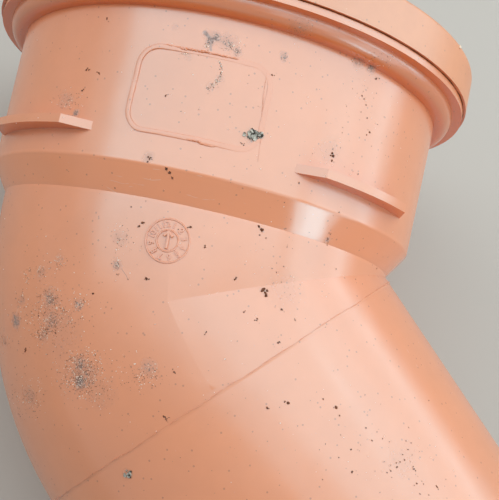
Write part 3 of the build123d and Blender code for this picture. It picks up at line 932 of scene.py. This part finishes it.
# Each smear and scratch: the pixels of its two ends and its width in mm
DARK_SMEARS = (
    ((205, 32), (212, 40), 0.6), ((212, 40), (211, 50), 0.5), ((219, 62), (222, 70), 0.2),
    ((222, 70), (219, 80), 0.2), ((219, 80), (207, 89), 0.24), ((120, 268), (129, 279), 0.12),
)
SCRATCHES = (
    ((112, 174), (160, 180), 0.14), ((128, 186), (196, 196), 0.12), ((150, 168), (203, 176), 0.14),
    ((96, 180), (120, 196), 0.12), ((228, 192), (246, 204), 0.12), ((396, 330), (420, 372), 0.12),
    ((217, 293), (229, 285), 0.12), ((31, 266), (27, 280), 0.16), ((27, 280), (23, 297), 0.18),
    ((23, 297), (15, 318), 0.20), ((110, 180), (150, 186), 0.10), ((165, 190), (215, 200), 0.10),
)


def largest_of(tree, masks):
    """Join masks into one by keeping the strongest at each place."""
    joined = masks[0]
    for mask in masks[1:]:
        joined = number_of(tree, "MAXIMUM", joined, mask)
    return joined


def scaled(tree, mask, amount):
    """The mask times a plain amount."""
    return number_of(tree, "MULTIPLY", mask, amount)


def use_group(tree, group, place, **values):
    """What a shader group puts out at the given coordinates."""
    return add_node(tree, "Group", {"Vector": place, **values}, node_tree=group).outputs[0]


def band_at(tree, place, axis, along, half):
    """A band square to an axis, its distance from the meeting point and its half width in mm."""
    return use_group(tree, band, place, Axis=axis, Along=meeting_point.dot(axis) + along * MM, Half=half * MM)


def patches_at(tree, place, rows):
    """One mask for all the round patches of a table."""
    masks = []
    for pixel_x, pixel_y, radius, strength in rows:
        centre = surface_at(pixel_x, pixel_y)[0]
        spot = use_group(tree, patch, place, Centre=centre, Radius=radius * MM, Broken=0.9)
        masks.append(scaled(tree, spot, strength))
    return largest_of(tree, masks)


def streaks_at(tree, place, rows):
    """One mask for all the streaks of a table."""
    masks = []
    for start, end, width in rows:
        ends = {"Start": surface_at(*start)[0], "End": surface_at(*end)[0]}
        masks.append(use_group(tree, streak, place, Width=width * MM, **ends))
    return largest_of(tree, masks)


print(len(DUST_PATCHES), "dust patches,", len(DARK_SMEARS), "smears,", len(SCRATCHES), "scratches")

# %% The plain round leg's normal, for the ramp of the mould line
RAMP_ALONG, RAMP_HALF = 23.50, 0.78
OUTSIDE_FROM, OUTSIDE_TO = 0.7, 0.8


def rounded_normal(tree, place):
    """The surface's normal, but that of the plain round leg on the ramp that leads up to the mould line."""
    from_middle = vector_of(tree, "SUBTRACT", place, meeting_point)
    along_leg = vector_of(tree, "PROJECT", from_middle, leg_axis)
    outward = vector_of(tree, "NORMALIZE", vector_of(tree, "SUBTRACT", from_middle, along_leg))
    in_room = add_node(
        tree, "VectorTransform", {"Vector": outward}, vector_type="NORMAL", convert_from="OBJECT", convert_to="WORLD"
    ).outputs["Vector"]
    surface = add_node(tree, "NewGeometry").outputs["Normal"]
    same_way = measure_of(tree, "DOT_PRODUCT", in_room, surface)
    outside = ranged(tree, same_way, OUTSIDE_FROM, OUTSIDE_TO)
    share = number_of(tree, "MULTIPLY", band_at(tree, place, leg_axis, RAMP_ALONG, RAMP_HALF), outside)
    return mixed(tree, surface, in_room, share, kind="VECTOR")


print("the ramp starts at", RAMP_ALONG - RAMP_HALF, "mm along the leg")

# %% Values for the pipe plastic
PLASTIC_IOR = 2.05
SKY_GLOSS = (0.5, 1.0, 1.1, 1)
# Bands of painted shade under the flange and painted light on the shoulder: how far along the socket and half width in
# mm, and the colour there
PAINTED_SHADE_AND_LIGHT_BANDS = ((68.0, 2.4, (0.70, 0.185, 0.050, 1)), (26.4, 4.3, (0.85, 0.275, 0.105, 1)))
# Painted shade on walls that face back along the socket: their colour, and the facings at which it starts and is full
PAINTED_SHADE_WALL, WALL_FROM, WALL_TO = (0.82, 0.165, 0.024, 1), 0.80, 0.97
JOINT_ALONG, JOINT_HALF = 71.66, 0.11
DUST_COLOUR, GRIME_COLOUR = (0.34, 0.155, 0.11, 1), (0.10, 0.018, 0.008, 1)
CLAY_COLOUR, CHALK_COLOUR = (0.13, 0.065, 0.05, 1), (0.72, 0.50, 0.42, 1)
SMEAR_COLOUR, SCRATCH_COLOUR = (0.23, 0.080, 0.046, 1), (0.80, 0.42, 0.27, 1)
SHARES = {
    "painted_bands": 0.85, "wall": 0.9, "dust": 0.62, "clay": 0.8, "chalk": 0.6, "specks": 0.45, "smears": 0.7,
    "scratches": 0.62,
}
DUST_DULLS = 0.5
SHOULDER_POLISH, POLISH_REACH = 0.10, 22.0
print(len(PAINTED_SHADE_AND_LIGHT_BANDS), "sheltered bands, shares", SHARES)

# %% Build the pipe plastic
def pipe_plastic(name, colour, deep_colour, roughness, marked=False):
    """Half-gloss moulded plastic. Marked plastic also carries the dust patches, smears and scratches."""
    material, tree, shader, coordinates = start_material(name)
    place = coordinates["Object"]
    cloud = use_group(tree, clouds, place, Scale=26.0, Low=0.0, High=1.0)
    fine_cloud = use_group(tree, clouds, place, Scale=240.0, Low=0.0, High=0.35)
    blotch = number_of(tree, "ADD", cloud, fine_cloud, use_clamp=True)
    base = mixed(tree, (*colour, 1), (*deep_colour, 1), blotch)
    # Painted shade under the flange and painted light on the shoulder, each in its band along the socket
    for along, half, painted_colour in PAINTED_SHADE_AND_LIGHT_BANDS:
        painted_band = band_at(tree, place, socket_axis, along, half)
        base = mixed(tree, base, painted_colour, scaled(tree, painted_band, SHARES["painted_bands"]))
    shoulder = painted_band
    # Painted shade: walls that face back along the socket get a deeper, darker orange
    facing_back = measure_of(tree, "DOT_PRODUCT", coordinates["Normal"], -socket_axis)
    painted_shade_on_wall = ranged(tree, facing_back, WALL_FROM, WALL_TO)
    base = mixed(tree, base, PAINTED_SHADE_WALL, scaled(tree, painted_shade_on_wall, SHARES["wall"]))

    dust = dulled = use_group(tree, clouds, place, Scale=60.0, Low=0.0, High=0.10)
    dotted = use_group(tree, specks, place, Scale=700.0, Size=0.17, Sown=0.2)
    layers = [(SMEAR_COLOUR, scaled(tree, dotted, SHARES["specks"]))]
    if marked:
        cover = patches_at(tree, place, DUST_PATCHES)
        thin_cover = scaled(tree, cover, SHARES["dust"])
        dust = largest_of(tree, [dust, thin_cover])
        clay = use_group(tree, stipple, place, Scale=2300.0, Cover=cover)
        chalk = use_group(tree, stipple, place, Scale=1900.0, Cover=thin_cover)
        dulled = largest_of(tree, [dust, clay])
        layers = [
            (CLAY_COLOUR, scaled(tree, clay, SHARES["clay"])),
            (CHALK_COLOUR, scaled(tree, chalk, SHARES["chalk"])),
            *layers,
            (SMEAR_COLOUR, scaled(tree, streaks_at(tree, place, DARK_SMEARS), SHARES["smears"])),
            (SCRATCH_COLOUR, scaled(tree, streaks_at(tree, place, SCRATCHES), SHARES["scratches"])),
        ]
    grime = band_at(tree, place, socket_axis, JOINT_ALONG, JOINT_HALF)
    for layer_colour, share in [(DUST_COLOUR, dust), *layers, (GRIME_COLOUR, grime)]:
        base = mixed(tree, base, layer_colour, share)

    dull = number_of(tree, "MULTIPLY_ADD", dulled, DUST_DULLS, roughness)
    inner_start = meeting_point.dot(inner_axis)
    inward = measure_of(tree, "DOT_PRODUCT", place, inner_axis)
    inner_side = ranged(tree, inward, inner_start, inner_start + POLISH_REACH * MM)
    worn_smooth = number_of(tree, "MULTIPLY", inner_side, shoulder)
    polished = number_of(tree, "MULTIPLY_ADD", worn_smooth, -SHOULDER_POLISH, dull)

    height = use_group(tree, moulded, place, Waves=1.0, Grain=0.02)
    under = {"Normal": rounded_normal(tree, place)} if marked else {}
    give(tree, shader, {
        "Base Color": base,
        "Roughness": polished,
        "Normal": bumped(tree, height, strength=0.6, distance=0.0003, **under),
        "IOR": PLASTIC_IOR,
        "Specular Tint": SKY_GLOSS,
    })
    print(name, len(tree.nodes), "nodes")
    return material


# %% Give the bend, the cap and the marks their plastic
bend_plastic = pipe_plastic("bend_plastic", (0.78, 0.266, 0.114), (0.74, 0.248, 0.104), roughness=0.20, marked=True)
relief_plastic = pipe_plastic("relief_plastic", (0.78, 0.258, 0.108), (0.74, 0.238, 0.098), roughness=0.24)
cap_plastic = pipe_plastic("cap_plastic", (0.75, 0.265, 0.100), (0.68, 0.232, 0.086), roughness=0.38)
scrap_plastic = pipe_plastic("scrap_plastic", (0.90, 0.62, 0.42), (0.86, 0.52, 0.33), roughness=0.40)
frame["nodes"]["bend"].material_slots[0].material = bend_plastic
frame["nodes"]["cap"].material_slots[0].material = cap_plastic
for piece in (raised_frame, date_dial, mould_line, flash_scraps):
    piece.data.materials.append(relief_plastic)
cap_pip.data.materials.append(scrap_plastic)

# %% [markdown]
# ## Rubber and soil
#
# The sealing ring sits inside the socket: matt black rubber with a bloom of dust. The large clumps are dry, grey
# soil with a hard mix of dark and pale, the crumbs and the dirt in the joint are dark and damp, and the grit is
# partly dark and partly pale. Every soil takes its colour from noise, so one helper makes them all.

# %% Build the rubber and the soil
SOIL_GLOSS = 0.15


def soil_finish(name, dark, pale, contrast=0.0):
    """Soil: two colours mixed by noise, quite dull, with a crumbly bump. Contrast makes the mix harder."""
    material, tree, shader, coordinates = start_material(name)
    place = coordinates["Object"]
    coarse = use_group(tree, clouds, place, Scale=1300.0, Low=-contrast, High=1.0 + contrast)
    fine = use_group(tree, clouds, place, Scale=2500.0, Low=0.0, High=1.0)
    give(tree, shader, {
        "Base Color": mixed(tree, dark, pale, coarse),
        "Roughness": use_group(tree, clouds, place, Scale=1500.0, Low=0.8, High=1.0),
        "Specular IOR Level": SOIL_GLOSS,
        "Normal": bumped(tree, fine, strength=0.8, distance=0.0002),
    })
    print(name, len(tree.nodes), "nodes")
    return material


RUBBER_COLOUR, BLOOM_COLOUR = (0.022, 0.022, 0.024, 1), (0.12, 0.11, 0.10, 1)
rubber, tree, shader, coordinates = start_material("seal_rubber")
place = coordinates["Object"]
bloom = use_group(tree, clouds, place, Scale=90.0, Low=0.0, High=0.25)
height = use_group(tree, moulded, place, Waves=0.5, Grain=0.4)
give(tree, shader, {
    "Base Color": mixed(tree, RUBBER_COLOUR, BLOOM_COLOUR, bloom),
    "Roughness": use_group(tree, clouds, place, Scale=140.0, Low=0.5, High=0.75),
    "Normal": bumped(tree, height, strength=0.4, distance=0.0002),
})
frame["nodes"]["seal_ring"].material_slots[0].material = rubber

for piece, name, dark, pale, contrast in (
    (joint_dirt, "joint_soil", (0.075, 0.016, 0.006, 1), (0.19, 0.050, 0.022, 1), 0.0),
    (soil_crumbs, "dry_soil", (0.040, 0.031, 0.024, 1), (0.60, 0.57, 0.49, 1), 0.6),
    (soil_crumbs, "damp_soil", (0.045, 0.016, 0.008, 1), (0.28, 0.11, 0.060, 1), 0.0),
    (grit_grains, "dark_grit", (0.10, 0.042, 0.024, 1), (0.24, 0.125, 0.080, 1), 0.0),
    (grit_grains, "pale_grit", (0.78, 0.56, 0.42, 1), (0.94, 0.84, 0.72, 1), 0.0),
):
    piece.data.materials.append(soil_finish(name, dark, pale, contrast))
